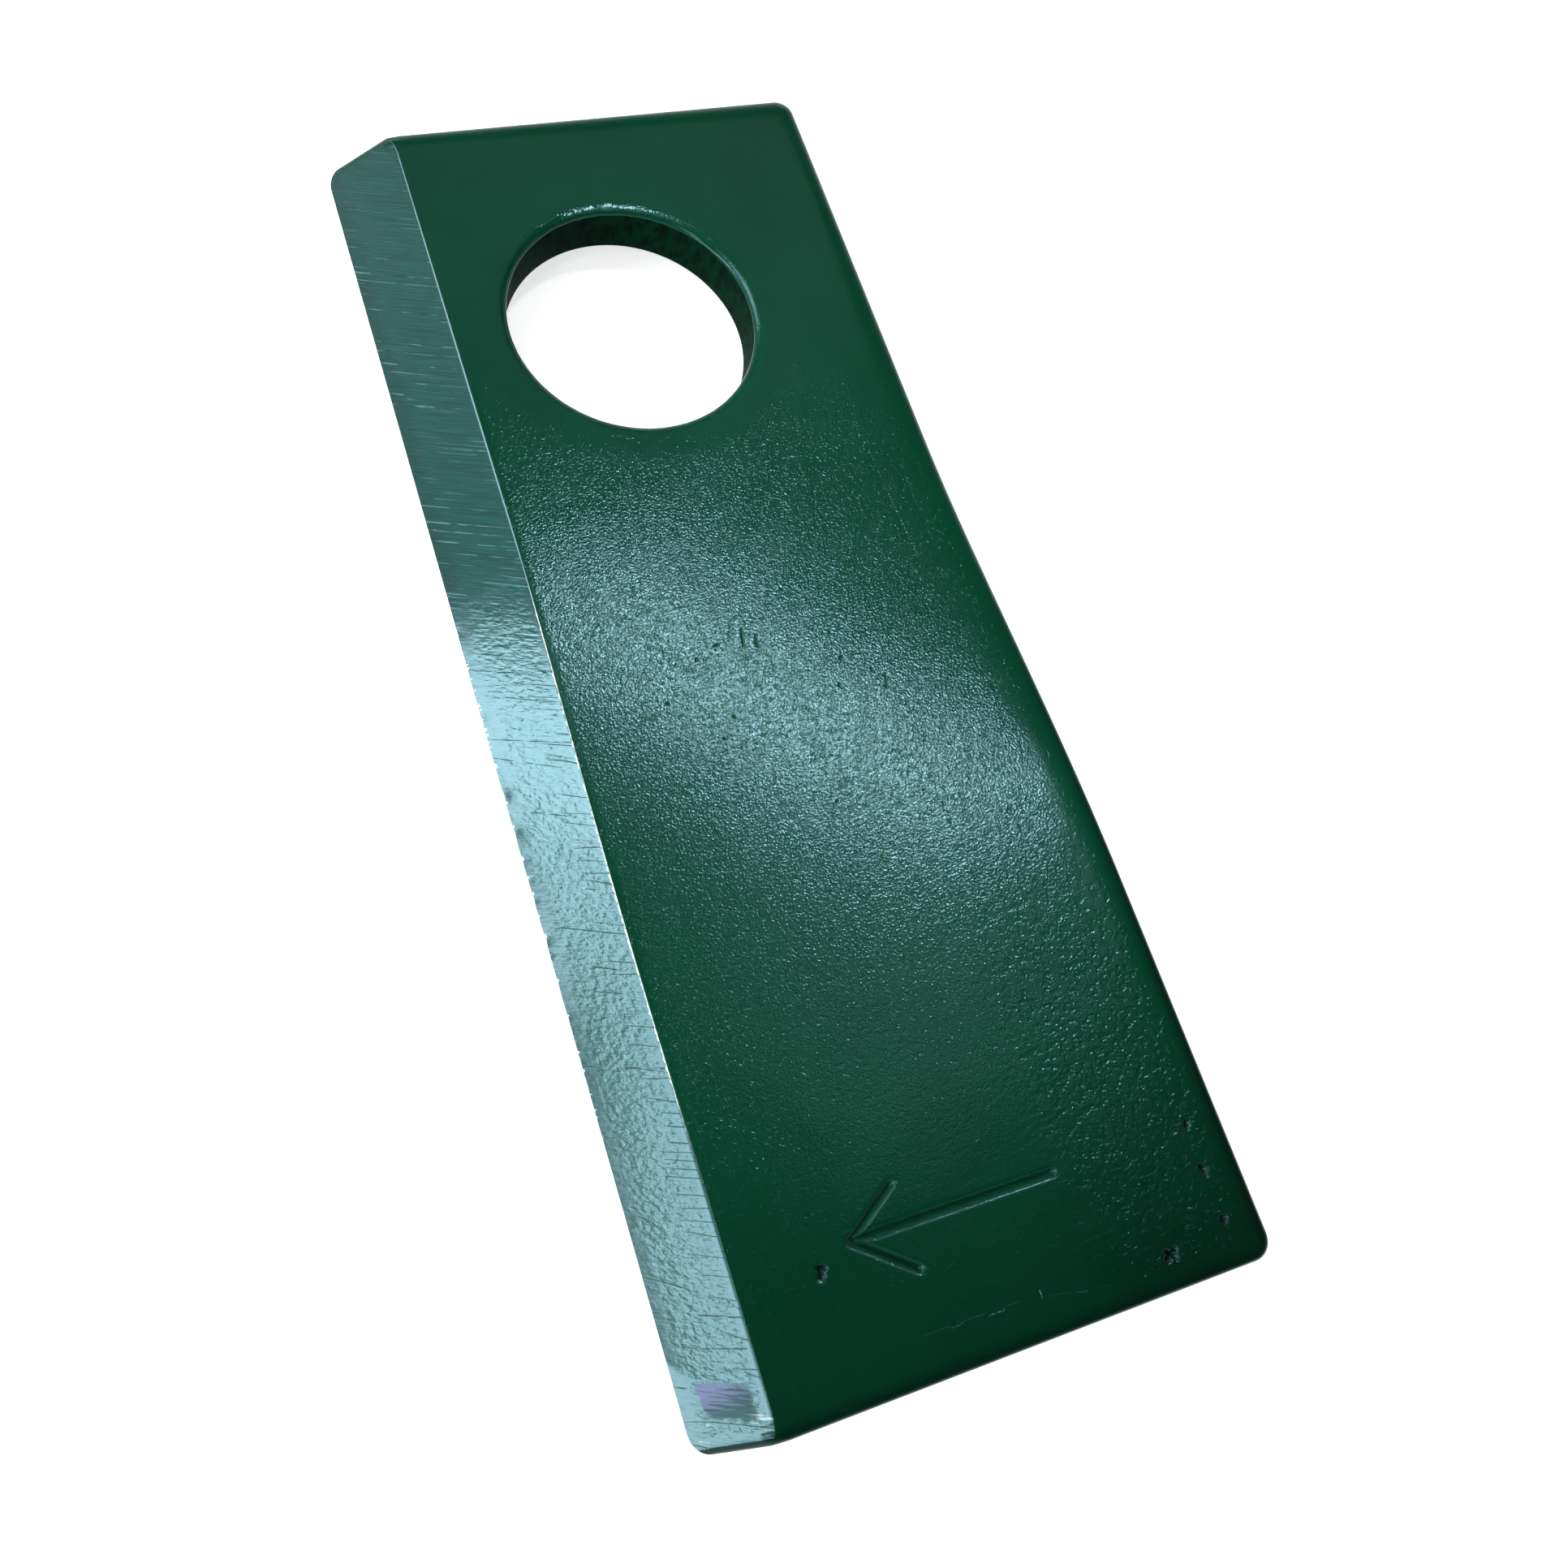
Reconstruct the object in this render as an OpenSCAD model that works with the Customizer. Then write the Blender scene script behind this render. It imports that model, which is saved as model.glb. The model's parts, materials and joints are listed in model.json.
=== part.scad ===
// Twisted rotary mower blade: one steel bar, blanked from strip, ground along one edge and turned at the tip.
// The origin lies on the axis of the mounting hole, level with the underside of the mounting end.
// +Z points out of the upper face, the tip lies towards -Y and the cutting edge towards -X.

/* [Bar] */
// Length from the mounting end to the tip
blade_length = 98; // [85:1:130]
// Width from the cutting edge to the back edge
blade_width = 40; // [34:0.5:55]
// Thickness of the bar
thickness = 4; // [3:0.1:6]
// Radius of the four corners in plan
corner_r = 1.4; // [0.4:0.1:4]

/* [Rolled edges] */
// How far the blanking punch draws the upper edges down
roll_depth = 0.45; // [0.1:0.05:0.9]
// How far that roll reaches in from the outline
roll_width = 2.2; // [0.5:0.1:4]

/* [Mounting hole] */
// Diameter of the hole for the blade pin
bore_d = 19.8; // [12:0.1:24]
// Distance from the hole's axis to the mounting end
bore_to_end = 19.5; // [17:0.5:24]
// Distance of the hole's axis from mid-width, towards the cutting edge
bore_offset = 0.4; // [0:0.1:1.5]
// How far the punch draws the mouth of the hole down
rim_depth = 0.45; // [0.1:0.05:0.9]
// How far the drawn mouth reaches out from the hole
rim_width = 1.1; // [0.3:0.1:2]

/* [Cutting edge] */
// Width of the ground bevel
bevel_width = 5.3; // [3:0.1:8]
// Thickness left at the cutting edge
edge_land = 0.35; // [0.1:0.05:1]

/* [Twist] */
// Angle of the tip about the bar's long axis, with the cutting edge going down
twist_angle = 7.5; // [0:0.5:20]
// Distance from the hole's axis to the start of the twist
twist_start = 15; // [13:0.5:20]
// Length of the flat tip beyond the twist
tip_flat = 26; // [10:0.5:30]

/* [Hidden] */
$fn = 96;

bar_green = "#1b5238";
// Steps of a rolled edge, from the outline to the flat face
roll_steps = 7;
// Steps of the twist along the bar
twist_steps = 30;
// How far a cutter stands clear of the face that it starts from
cutter_clear = 1;

half_width = blade_width / 2;
mount_end_y = bore_to_end;
tip_y = bore_to_end - blade_length;
twist_end_y = tip_y + tip_flat;
bevel_slope = (thickness - edge_land) / bevel_width;
// The stretch at each end that the corner radius and the roll take up
end_reach = max(corner_r, roll_width);

// Stations of a roll: 0 at the outline, 1 where it meets the flat face, closest where it is steepest
roll_stations = [for (k = [0:roll_steps]) 1 - cos(90 * k / roll_steps)];

// Drop of a rolled edge at a distance in from the edge: a quarter of an ellipse
function roll_drop(inset, depth, width) =
    inset >= width ? 0 : depth * (1 - sqrt(1 - pow(1 - max(inset, 0) / width, 2)));

// Distance from the nearer end of the bar
function from_end(y) = min(mount_end_y - y, y - tip_y);

// How far a corner radius narrows the bar at a distance from its end
function corner_inset(gap) =
    gap >= corner_r ? 0 : corner_r - sqrt(corner_r * corner_r - pow(corner_r - gap, 2));

// Distance in from the back edge and the end, round the corner between them
function outline_inset(x, gap) =
    let (back = half_width - x)
    back < corner_r && gap < corner_r
        ? corner_r - norm([corner_r - back, corner_r - gap])
        : min(back, gap);

// Height of the ground bevel at a distance from mid-width
function bevel_height(x) = edge_land + (x + half_width) * bevel_slope;

// Turn of the bar at a place along it, easing in and out
function turn_at(y) =
    let (share = min(1, max(0, (-twist_start - y) / (-twist_start - twist_end_y))))
    twist_angle * share * share * (3 - 2 * share);

// Section of the bar before it is twisted, as [distance from mid-width, height], clockwise from the cutting edge
function flat_section(y) =
    let (
        gap = from_end(y),
        narrow = corner_inset(gap),
        left = -half_width + narrow,
        right = half_width - narrow,
        top = thickness - roll_drop(gap, roll_depth, roll_width),
        crest = (top - edge_land) / bevel_slope - half_width
    )
    concat(
        [[left, 0], [left, bevel_height(left)], [crest, top]],
        [
            for (k = [roll_steps:-1:0])
                let (x = right - roll_width * roll_stations[k])
                [x, thickness - roll_drop(outline_inset(x, gap), roll_depth, roll_width)]
        ],
        [[right, 0]]
    );

// The same section turned about the middle of the bar and set in place
function turned_section(y) =
    let (turn = turn_at(y))
    [
        for (p = flat_section(y))
            let (x = p[0], z = p[1] - thickness / 2)
            [
                bore_offset + x * cos(turn) - z * sin(turn),
                y,
                thickness / 2 + x * sin(turn) + z * cos(turn)
            ]
    ];

// Places of the sections: close together at both ends and along the twist, none where the bar is straight
section_places = concat(
    [for (s = roll_stations) mount_end_y - end_reach * s],
    [for (k = [0:twist_steps]) -twist_start + (twist_end_y + twist_start) * k / twist_steps],
    [for (k = [roll_steps:-1:0]) tip_y + end_reach * roll_stations[k]]
);

// A solid skin through a row of sections that have the same number of points
module loft(sections) {
    count = len(sections[0]);
    last = len(sections) - 1;
    polyhedron(
        points = [for (section = sections) each section],
        faces = concat(
            [[for (i = [count - 1:-1:0]) i]],
            [
                for (row = [0:last - 1], i = [0:count - 1])
                    let (
                        next = (i + 1) % count,
                        a = row * count + i,
                        b = row * count + next,
                        c = a + count,
                        d = b + count
                    )
                    each [[a, b, d], [a, d, c]]
            ],
            [[for (i = [0:count - 1]) last * count + i]]
        )
    );
}

// The pin hole with its drawn mouth on the upper face
module mounting_hole() {
    bore_r = bore_d / 2;
    translate([0, 0, -cutter_clear])
        cylinder(d = bore_d, h = thickness + 2 * cutter_clear);
    rotate_extrude()
        polygon(concat(
            [[bore_r - cutter_clear, thickness - rim_depth]],
            [
                for (s = roll_stations)
                    [bore_r + rim_width * s, thickness - roll_drop(rim_width * s, rim_depth, rim_width)]
            ],
            [
                [bore_r + rim_width, thickness + cutter_clear],
                [bore_r - cutter_clear, thickness + cutter_clear]
            ]
        ));
}

module blade() {
    color(bar_green)
        difference() {
            loft([for (y = section_places) turned_section(y)]);
            mounting_hole();
        }
}

blade();
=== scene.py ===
"""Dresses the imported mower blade: the formed and marked bar, its finishes, the stage and the camera."""

import json
import logging
import math
import random
from dataclasses import dataclass
from enum import Enum
from typing import Any, Callable, Iterable, Mapping, Optional, Sequence, Union

import bmesh
import bpy
from mathutils import Matrix, Vector
from mathutils.geometry import delaunay_2d_cdt

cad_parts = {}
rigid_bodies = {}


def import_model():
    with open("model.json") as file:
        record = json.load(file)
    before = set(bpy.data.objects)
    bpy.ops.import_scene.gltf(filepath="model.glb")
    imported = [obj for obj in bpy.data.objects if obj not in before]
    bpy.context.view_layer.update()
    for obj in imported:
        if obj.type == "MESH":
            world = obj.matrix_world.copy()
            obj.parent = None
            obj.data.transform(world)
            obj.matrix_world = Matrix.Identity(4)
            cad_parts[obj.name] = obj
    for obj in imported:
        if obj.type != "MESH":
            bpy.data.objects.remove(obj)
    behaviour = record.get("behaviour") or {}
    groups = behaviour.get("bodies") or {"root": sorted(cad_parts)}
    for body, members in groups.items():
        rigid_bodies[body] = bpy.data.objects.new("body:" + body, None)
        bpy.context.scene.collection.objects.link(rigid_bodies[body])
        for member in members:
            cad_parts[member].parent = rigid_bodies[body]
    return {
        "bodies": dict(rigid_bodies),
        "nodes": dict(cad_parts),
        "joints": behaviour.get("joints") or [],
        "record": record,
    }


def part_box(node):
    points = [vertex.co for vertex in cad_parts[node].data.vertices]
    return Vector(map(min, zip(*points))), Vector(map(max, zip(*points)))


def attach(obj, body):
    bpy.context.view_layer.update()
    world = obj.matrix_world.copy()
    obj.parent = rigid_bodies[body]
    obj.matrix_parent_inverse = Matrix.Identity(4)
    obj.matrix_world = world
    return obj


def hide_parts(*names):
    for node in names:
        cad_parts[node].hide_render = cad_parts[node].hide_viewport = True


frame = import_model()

LOG = logging.getLogger("mower_blade")
MM = 0.001
NODE = "blade"
BODY = "root"

Colour = tuple[float, float, float]
Place = tuple[float, float]
Span = tuple[float, float]
Key = Union[str, int]
Source = Union["Wire", float, str, Sequence[float], bpy.types.ID, None]
Settings = Optional[Mapping[str, Any]]
Feeds = Optional[Mapping[Key, Source]]


def operator(kind: str, swapped: bool = False) -> Callable[["Wire", Source], "Wire"]:
    """Makes a method of Wire that adds one Math node for two values.

    Args:
        kind: Blender's name of the operation.
        swapped: whether the other value comes first.

    Returns:
        The method.
    """

    def method(wire: "Wire", other: Source) -> "Wire":
        """Adds the node."""
        return wire.graph.math(kind, *((other, wire) if swapped else (wire, other)))

    return method


class Wire:
    """A node's output that takes part in arithmetic: each operator adds one Math node."""

    __add__, __radd__ = operator("ADD"), operator("ADD", True)
    __sub__, __rsub__ = operator("SUBTRACT"), operator("SUBTRACT", True)
    __mul__, __rmul__ = operator("MULTIPLY"), operator("MULTIPLY", True)
    __truediv__ = operator("DIVIDE")
    __lt__ = operator("LESS_THAN")
    lesser, greater = operator("MINIMUM"), operator("MAXIMUM")

    def __init__(self, graph: "Graph", socket: bpy.types.NodeSocket) -> None:
        """Keeps the graph and the socket."""
        self.graph = graph
        self.socket = socket

    def __neg__(self) -> "Wire":
        """The value with its sign changed."""
        return self * -1.0

    def __abs__(self) -> "Wire":
        """The value without its sign."""
        return self.graph.math("ABSOLUTE", self)

    def root(self) -> "Wire":
        """Square root."""
        return self.graph.math("SQRT", self)

    def rise(self, low: Source, high: Source) -> "Wire":
        """A smooth step from 0 at the low value to 1 at the high one."""
        sockets = {"Value": self, "From Min": low, "From Max": high}
        return self.graph.result("ShaderNodeMapRange", {"interpolation_type": "SMOOTHSTEP"}, sockets)

    def rise_mm(self, low: float, high: float) -> "Wire":
        """The same step between two values in millimetres."""
        return self.rise(low * MM, high * MM)

    def fall_mm(self, low: float, high: float) -> "Wire":
        """A smooth step from 1 down to 0 between two values in millimetres."""
        return 1.0 - self.rise_mm(low, high)


class Graph:
    """Adds nodes to a shader or geometry tree."""

    def __init__(self, tree: bpy.types.NodeTree) -> None:
        """Keeps the tree."""
        self.tree = tree

    def node(self, kind: str, settings: Settings = None, sockets: Feeds = None) -> bpy.types.Node:
        """Adds a node.

        Args:
            kind: Blender's name of the node type.
            settings: properties, set before the sockets because some of them change the sockets.
            sockets: values or links of inputs, by identifier, name or position.

        Returns:
            The new node.
        """
        node = self.tree.nodes.new(kind)
        for name, value in (settings or {}).items():
            setattr(node, name, value)
        for name, value in (sockets or {}).items():
            self.feed(self.find(node.inputs, name), value)
        return node

    def result(self, kind: str, settings: Settings = None, sockets: Feeds = None, name: Key = 0) -> Wire:
        """Adds a node and gives one of its outputs, the first unless another is named."""
        return self.out(self.node(kind, settings, sockets), name)

    @staticmethod
    def find(sockets: Sequence[bpy.types.NodeSocket], name: Key) -> bpy.types.NodeSocket:
        """Finds a socket.

        Args:
            sockets: a node's inputs or outputs.
            name: its identifier, its name or its position.

        Returns:
            The socket.
        """
        if isinstance(name, int):
            return sockets[name]
        for socket in sockets:
            if socket.identifier == name:
                return socket
        return sockets[name]

    def feed(self, socket: bpy.types.NodeSocket, value: Source) -> None:
        """Links a wire to an input, or sets the input's own value.

        Args:
            socket: the input.
            value: a wire, a number, a colour or a vector.
        """
        if isinstance(value, Wire):
            self.tree.links.new(value.socket, socket)
        elif socket.type == "RGBA" and len(value) == 3:
            socket.default_value = (*value, 1.0)
        else:
            socket.default_value = value

    def out(self, node: bpy.types.Node, name: Key = 0) -> Wire:
        """Output of a node as a wire."""
        return Wire(self, self.find(node.outputs, name))

    def math(self, operation: str, *values: Source) -> Wire:
        """Adds one Math node for an operation, by Blender's name of it, on these values."""
        return self.result("ShaderNodeMath", {"operation": operation}, dict(enumerate(values)))

    def vector(self, x: Source, y: Source, z: Source) -> Wire:
        """Vector of three values."""
        return self.result("ShaderNodeCombineXYZ", {}, {0: x, 1: y, 2: z})

    def parts(self, vector: Wire) -> tuple[Wire, Wire, Wire]:
        """The three values of a vector."""
        node = self.node("ShaderNodeSeparateXYZ", {}, {0: vector})
        return self.out(node, 0), self.out(node, 1), self.out(node, 2)

    def noise(self, vector: Wire, size: float, detail: float = 0.0, roughness: float = 0.5) -> Wire:
        """Smooth noise from about 0.25 to 0.75.

        Args:
            vector: where the noise is read.
            size: size of its cells, in the units of the vector.
            detail: how many finer layers it has.
            roughness: how strong those layers are.

        Returns:
            The noise value.
        """
        sockets = {"Vector": vector, "Scale": 1.0 / size, "Detail": detail, "Roughness": roughness}
        return self.result("ShaderNodeTexNoise", {"noise_dimensions": "3D"}, sockets)

    def blend(self, share: Source, first: Source, second: Source) -> Wire:
        """Colour between two others: the first where the share is 0, the second where it is 1."""
        sockets = {"Factor_Float": share, "A_Color": first, "B_Color": second}
        return self.result("ShaderNodeMix", {"data_type": "RGBA"}, sockets, "Result_Color")

    def between(self, share: Source, first: Source, second: Source) -> Wire:
        """Number between two others, shared out in the same way."""
        sockets = {"Factor_Float": share, "A_Float": first, "B_Float": second}
        return self.result("ShaderNodeMix", {"data_type": "FLOAT"}, sockets, "Result_Float")


def added(name: str, data: bpy.types.ID) -> bpy.types.Object:
    """Adds an object to the scene.

    Args:
        name: name of the object.
        data: its mesh, lamp or camera.

    Returns:
        The object.
    """
    thing = bpy.data.objects.new(name, data)
    bpy.context.scene.collection.objects.link(thing)
    return thing


class Marked(Enum):
    """Attributes that the forming leaves on the blade for its finishes."""

    FLAT = "flat_place"
    EDGE = "edge_gap"
    HOLE = "hole_gap"
    CREST = "crest_gap"
    PIT = "pit_depth"
    STAMP = "stamp_depth"


@dataclass(frozen=True)
class Groove:
    """Section of a stamped or scratched line: half its width, its depth, how ragged it is and its step."""

    reach: float
    depth: float
    ragged: float
    step: float


class MarkKind(Enum):
    """The kinds of mark on the upper face."""

    ARROW = Groove(0.50 * MM, 0.40 * MM, 0.06, 0.12 * MM)
    PIT = Groove(0.42 * MM, 0.34 * MM, 1.0, 0.07 * MM)
    NICK = Groove(0.14 * MM, 0.08 * MM, 0.6, 0.06 * MM)
    SCRATCH = Groove(0.07 * MM, 0.012 * MM, 0.6, 0.12 * MM)


@dataclass(frozen=True)
class Mark:
    """A straight mark on the upper face, in millimetres from mid-width and from the hole's axis."""

    kind: MarkKind
    start: Place
    end: Place


def straight_marks(kind: MarkKind, *lines: tuple[Place, Place]) -> tuple[Mark, ...]:
    """Marks of one kind from where each line starts and ends."""
    return tuple(Mark(kind, start, end) for start, end in lines)


ARROW_POINT: Place = (-6.7, -68.9)
ARROW = straight_marks(
    MarkKind.ARROW,
    ((7.5, -69.1), ARROW_POINT),
    ((-3.0, -66.5), ARROW_POINT),
    ((-3.0, -71.8), ARROW_POINT),
)
PITS = straight_marks(
    MarkKind.PIT,
    ((12.7, -76.4), (13.5, -76.0)),
    ((12.9, -76.0), (13.3, -76.4)),
    ((-9.2, -69.8), (-8.9, -69.9)),
    ((-9.1, -70.0), (-9.2, -70.2)),
    ((17.5, -69.1), (17.4, -69.2)),
    ((17.3, -71.9), (17.4, -72.1)),
    ((17.5, -75.3), (17.4, -75.4)),
)
NICKS = straight_marks(
    MarkKind.NICK,
    ((-0.5, -27.4), (-0.7, -28.5)),
    ((0.4, -28.0), (0.3, -28.9)),
    ((8.9, -33.5), (8.7, -34.2)),
    ((-9.0, -66.6), (-8.6, -66.6)),
    ((-2.2, -75.6), (-1.6, -75.6)),
    ((0.3, -75.7), (1.3, -75.7)),
    ((3.9, -75.4), (3.9, -75.8)),
    ((6.2, -76.2), (6.8, -76.4)),
)
SPECKS: tuple[Place, ...] = (
    (-4.5, -28.9), (6.0, -31.3), (5.3, -33.4), (8.1, -32.8), (-3.0, -33.7), (-7.4, -31.5),
    (-4.2, -35.0), (2.1, -41.5), (4.1, -24.2), (3.6, -25.1), (-2.8, -28.1),
)
SCRATCHES = straight_marks(
    MarkKind.SCRATCH,
    ((-0.7, -29.2), (-1.5, -31.6)),
    ((1.0, -30.2), (0.6, -32.5)),
    ((14.6, -15.5), (15.0, -25.0)),
    ((16.7, -18.0), (16.8, -24.9)),
    ((-10.8, -45.4), (-11.3, -47.4)),
    ((-4.1, -75.5), (2.6, -75.6)),
    ((4.3, -75.9), (9.2, -76.7)),
)


@dataclass(frozen=True)
class BladeSizes:
    """Sizes of the blade in metres. The frame gives the first four, and the rest repeat the bar's own."""

    mount_end: float
    tip: float
    thickness: float
    bore_radius: float
    half_width: float = 20.0 * MM
    mid_width: float = 0.4 * MM
    corner_radius: float = 1.4 * MM
    roll_depth: float = 0.45 * MM
    roll_width: float = 2.2 * MM
    rim_depth: float = 0.45 * MM
    rim_width: float = 1.1 * MM
    bevel_width: float = 5.3 * MM
    edge_land: float = 0.35 * MM
    twist: float = math.radians(7.5)
    twist_start: float = -15.0 * MM
    tip_flat: float = 26.0 * MM
    crest_softness: float = 0.08 * MM
    lower_round: float = 0.12 * MM
    bevel_end_drop: float = 0.3 * MM
    bevel_end_round: float = 0.46 * MM

    @classmethod
    def from_frame(cls, packed: Mapping[str, Any]) -> "BladeSizes":
        """Reads the sizes that the frame holds.

        Args:
            packed: what the frame's load gave.

        Returns:
            The sizes.
        """
        low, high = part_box(NODE)
        mounts = {mount["name"]: mount for mount in packed["record"]["mounts"]}
        return cls(
            mount_end=high.y,
            tip=low.y,
            thickness=mounts["upper_face"]["pos_m"][2],
            bore_radius=mounts["pin_hole"]["dims"]["r_mm"] * MM,
        )

    @property
    def bevel_slope(self) -> float:
        """Rise of the bevel for each metre across."""
        return (self.thickness - self.edge_land) / self.bevel_width

    @property
    def twist_end(self) -> float:
        """Where the twist is complete."""
        return self.tip + self.tip_flat

    @property
    def rest_slope(self) -> float:
        """Slope of the surface that the twisted blade comes to rest on, across the blade."""
        half, sine, cosine = self.thickness / 2, math.sin(self.twist), math.cos(self.twist)
        low_x = self.mid_width - self.half_width * cosine + half * sine
        low_z = half * (1 - cosine) - self.half_width * sine
        return -low_z / (self.mid_width + self.half_width - low_x)

    def end_drop(self, along: float) -> float:
        """How far the roll at the ends lowers the face at a place along the blade."""
        share = min(1.0, min(self.mount_end - along, along - self.tip) / self.roll_width)
        return self.roll_depth * (1 - math.sqrt(1 - (1 - share) ** 2))

    def crest(self, along: float) -> float:
        """Distance of the bevel's crest from mid-width at a place along the blade."""
        return (self.thickness - self.end_drop(along) - self.edge_land) / self.bevel_slope - self.half_width


class Sieve:
    """Keeps points that stand clear of those kept before."""

    CELL = 0.5 * MM

    def __init__(self) -> None:
        """Starts with no point."""
        self.cells: dict[tuple[int, int], list[Vector]] = {}

    def cell(self, point: Vector) -> tuple[int, int]:
        """The cell that a point lies in."""
        return math.floor(point.x / self.CELL), math.floor(point.y / self.CELL)

    def keep(self, point: Vector) -> None:
        """Notes a kept point."""
        self.cells.setdefault(self.cell(point), []).append(point)

    def clear(self, point: Vector, gap: float) -> bool:
        """Says whether a point stands clear.

        Args:
            point: the point to try.
            gap: the least distance from any kept point.

        Returns:
            True if no kept point is nearer.
        """
        column, row = self.cell(point)
        reach = math.ceil(gap / self.CELL)
        for i in range(column - reach, column + reach + 1):
            for j in range(row - reach, row + reach + 1):
                if any((other - point).length < gap for other in self.cells.get((i, j), ())):
                    return False
        return True

    def pick(self, points: Iterable[Vector], gap: float) -> list[Vector]:
        """Picks the points that stand clear, and notes them.

        Args:
            points: candidates in order.
            gap: the least distance between kept points.

        Returns:
            The points that were kept.
        """
        picked = []
        for point in points:
            if self.clear(point, gap):
                self.keep(point)
                picked.append(point)
        return picked


class BladeBlank:
    """The flat blank: an upper skin that is fine where it will be formed, an underside and the walls."""

    ROLL_STEPS = 7
    RIM_SIDES = 144
    CORNER_STEPS = 9
    SIDE_STEP = 0.9 * MM
    EDGE_STEP = 0.25 * MM
    CREST_STEP = 0.5 * MM
    CREST_ROWS = (-0.2, -0.1, 0.0, 0.1, 0.2)
    CREST_GAP = 0.07 * MM
    MARK_STRIPS = (0.15, 0.3, 0.45, 0.6, 0.75, 0.9, 1.05, 1.3, 1.7)
    MARK_GAP = 0.04 * MM
    # Rolls that lie within this share of the corner radius follow the outline as closed loops
    LOOP_SHARE = 0.9
    ROLL_GAP = 0.3 * MM
    BEVEL_GRID = 0.5 * MM
    BEVEL_GAP = 0.3 * MM
    BEVEL_MARGIN = 1.3 * MM
    FACE_GRID = 1.1 * MM
    FACE_GAP = 0.45 * MM
    UNDER_GRID = 2.5 * MM
    # What the triangulation gives back: 1 stands for what lies inside the loops
    INSIDE_LOOPS = 1
    MERGE_GAP = 1e-9

    def __init__(self, sizes: BladeSizes, marks: Sequence[Mark]) -> None:
        """Keeps the sizes and the marks that the upper skin has to be fine for."""
        self.sizes = sizes
        self.marks = marks
        self.points: list[Vector] = []
        self.faces: list[Sequence[int]] = []
        self.walls: set[int] = set()
        self.upper_count = 0

    def roll_stations(self) -> list[float]:
        """Shares of a roll's width, from 0 at the outline to 1, closest where the roll is steepest."""
        return [1 - math.cos(math.pi / 2 * k / self.ROLL_STEPS) for k in range(self.ROLL_STEPS + 1)]

    def side(self, start: Vector, end: Vector, step: float) -> list[Vector]:
        """Points about one step apart along a straight stretch, without its end point."""
        count = max(1, round((end - start).length / step))
        return [start.lerp(end, k / count) for k in range(count)]

    def outline(self, inset: float) -> list[Vector]:
        """Points round the blank, anticlockwise, with as many for each inset.

        Args:
            inset: distance in from the outline, at most the corner radius.

        Returns:
            The points in plan, from mid-width.
        """
        s = self.sizes
        core = s.half_width - s.corner_radius
        bottom, top = s.tip + s.corner_radius, s.mount_end - s.corner_radius
        corners = [Vector(place) for place in ((core, bottom), (core, top), (-core, top), (-core, bottom))]
        steps = (self.SIDE_STEP, self.SIDE_STEP, self.EDGE_STEP, self.SIDE_STEP)
        radius = s.corner_radius - inset
        points: list[Vector] = []
        for quarter, (corner, step) in enumerate(zip(corners, steps)):
            for k in range(self.CORNER_STEPS):
                angle = math.pi / 2 * (quarter - 1 + k / self.CORNER_STEPS)
                points.append(corner + radius * Vector((math.cos(angle), math.sin(angle))))
            outward = radius * Vector((math.cos(math.pi / 2 * quarter), math.sin(math.pi / 2 * quarter)))
            side = self.side(corner + outward, corners[(quarter + 1) % 4] + outward, step)
            if quarter % 2:
                crest = s.crest(side[0].y)
                min(side, key=lambda point: abs(point.x - crest)).x = crest
            points.extend(side)
        return points

    def ring(self, radius: float) -> list[Vector]:
        """Points round the hole, anticlockwise, from mid-width."""
        centre = Vector((-self.sizes.mid_width, 0.0))
        turns = (2 * math.pi * k / self.RIM_SIDES for k in range(self.RIM_SIDES))
        return [centre + radius * Vector((math.cos(turn), math.sin(turn))) for turn in turns]

    def grid(self, step: float, left: float, right: float, margin: float) -> list[Vector]:
        """Points of a triangular grid in the blank, clear of the hole.

        Args:
            step: distance between the points.
            left: least distance from mid-width.
            right: greatest distance from mid-width.
            margin: distance from the ends.

        Returns:
            The points.
        """
        s = self.sizes
        centre = Vector((-s.mid_width, 0.0))
        row_step = step * math.sqrt(3) / 2
        points = []
        for row in range(math.ceil((s.mount_end - s.tip - 2 * margin) / row_step)):
            for column in range(math.ceil((right - left) / step)):
                point = Vector((left + (column + row % 2 / 2) * step, s.tip + margin + row * row_step))
                if (point - centre).length > s.bore_radius + s.rim_width and point.x < right:
                    points.append(point)
        return points

    def crest_points(self) -> list[Vector]:
        """Rows of points along the bevel's crest and just beside it."""
        s = self.sizes
        rows = []
        count = round((s.mount_end - s.tip - 2 * self.CREST_STEP) / self.CREST_STEP)
        for offset in self.CREST_ROWS:
            for k in range(count + 1):
                along = s.tip + self.CREST_STEP * (1 + k)
                rows.append(Vector((s.crest(along) + offset * MM, along)))
        return rows

    def mark_points(self, mark: Mark) -> list[Vector]:
        """Strips of points along a mark, close enough to hold its section."""
        groove = mark.kind.value
        start, end = Vector(mark.start) * MM, Vector(mark.end) * MM
        forward = (end - start).normalized()
        across = forward.orthogonal()
        overrun = self.MARK_STRIPS[-1] * groove.reach
        length = (end - start).length + 2 * overrun
        count = math.ceil(length / groove.step)
        strips = [0.0, *self.MARK_STRIPS, *(-strip for strip in self.MARK_STRIPS)]
        points = []
        for strip in sorted(strips, key=abs):
            for k in range(count + 1):
                middle = start + forward * (k * length / count - overrun)
                points.append(middle + across * strip * groove.reach)
        return points

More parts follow.
